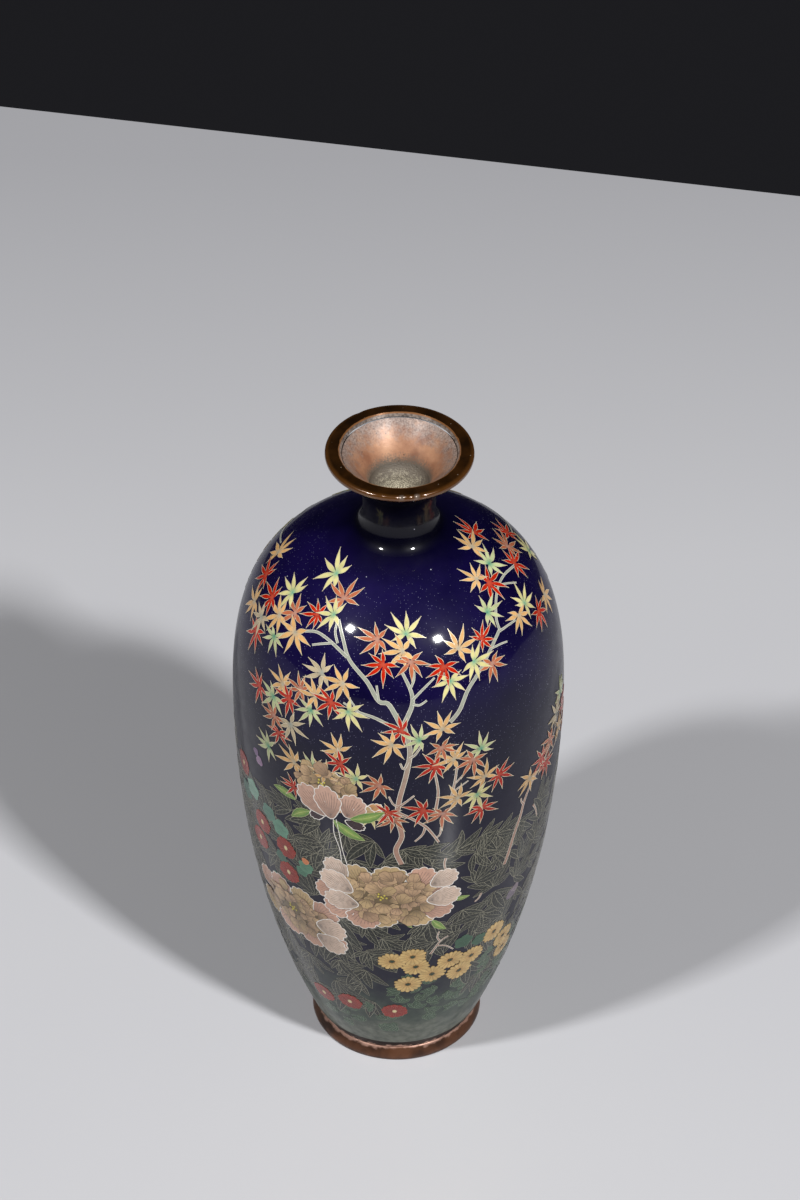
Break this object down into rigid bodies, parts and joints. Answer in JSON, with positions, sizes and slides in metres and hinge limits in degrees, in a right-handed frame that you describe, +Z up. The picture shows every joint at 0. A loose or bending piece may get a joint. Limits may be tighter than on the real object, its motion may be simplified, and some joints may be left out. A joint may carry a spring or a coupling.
{
  "type": "cloisonne vase",
  "caption": "Slender shouldered cloisonne vase with a narrow flared neck: cobalt enamel over copper, inlaid with maples, peonies and chrysanthemums, with metal rim and foot rings.",
  "frame": {"origin": "centre of the foot's underside, on the surface the vase stands on", "axes": "+Z up along the vase's axis; -Y towards the front, where the large peony is; +X to the right seen from the front"},
  "size_m": [0.082, 0.082, 0.185],
  "materials": {
    "ground_enamel": "polished glossy cobalt enamel with fine pale specks",
    "counter_enamel": "rough speckled cream and grey counter-enamel",
    "copper": "worn brown copper with an orange-brown patina",
    "patinated_rim": "glossy dark brown patina with bright worn edges",
    "yellow_enamel": "polished opaque yellow enamel",
    "red_enamel": "polished opaque red enamel",
    "peony_enamel": "polished pink and tan enamel, shaded within each petal",
    "bark_enamel": "polished grey-cream enamel",
    "leaf_enamel": "polished enamel shaded from mint centres to yellow, peach and red tips",
    "foliage_enamel": "polished slate green enamel",
    "silver_wire": "fine silver wire polished flush with the enamel"
  },
  "bodies": {
    "root": {"ground_enamel": "ground_enamel", "neck_enamel": "ground_enamel", "lining_enamel": "counter_enamel", "base_enamel": "counter_enamel", "vessel_core": "copper", "neck_core": "copper", "base_plate": "copper", "foot_ring": "copper", "rim_ring": "patinated_rim", "mum_yellow_01": "yellow_enamel", "mum_yellow_02": "yellow_enamel", "mum_yellow_03": "yellow_enamel", "mum_yellow_04": "yellow_enamel", "mum_yellow_05": "yellow_enamel", "mum_yellow_06": "yellow_enamel", "mum_yellow_07": "yellow_enamel", "mum_yellow_08": "yellow_enamel", "mum_yellow_09": "yellow_enamel", "mum_yellow_10": "yellow_enamel", "mum_yellow_11": "yellow_enamel", "mum_yellow_12": "yellow_enamel", "mum_yellow_13": "yellow_enamel", "mum_yellow_14": "yellow_enamel", "mum_yellow_15": "yellow_enamel", "mum_yellow_16": "yellow_enamel", "mum_red_01": "red_enamel", "mum_red_02": "red_enamel", "mum_red_03": "red_enamel", "mum_red_04": "red_enamel", "mum_red_05": "red_enamel", "mum_red_06": "red_enamel", "mum_red_07": "red_enamel", "mum_red_08": "red_enamel", "mum_red_09": "red_enamel", "mum_red_10": "red_enamel", "mum_red_11": "red_enamel", "mum_red_12": "red_enamel", "peony_front": "peony_enamel", "peony_left": "peony_enamel", "peony_upper": "peony_enamel", "peony_back": "peony_enamel", "peony_back_left": "peony_enamel", "peony_back_upper": "peony_enamel", "maple_trunk_front": "bark_enamel", "maple_trunk_right": "bark_enamel", "maple_trunk_back": "bark_enamel"}
  },
  "joints": []
}
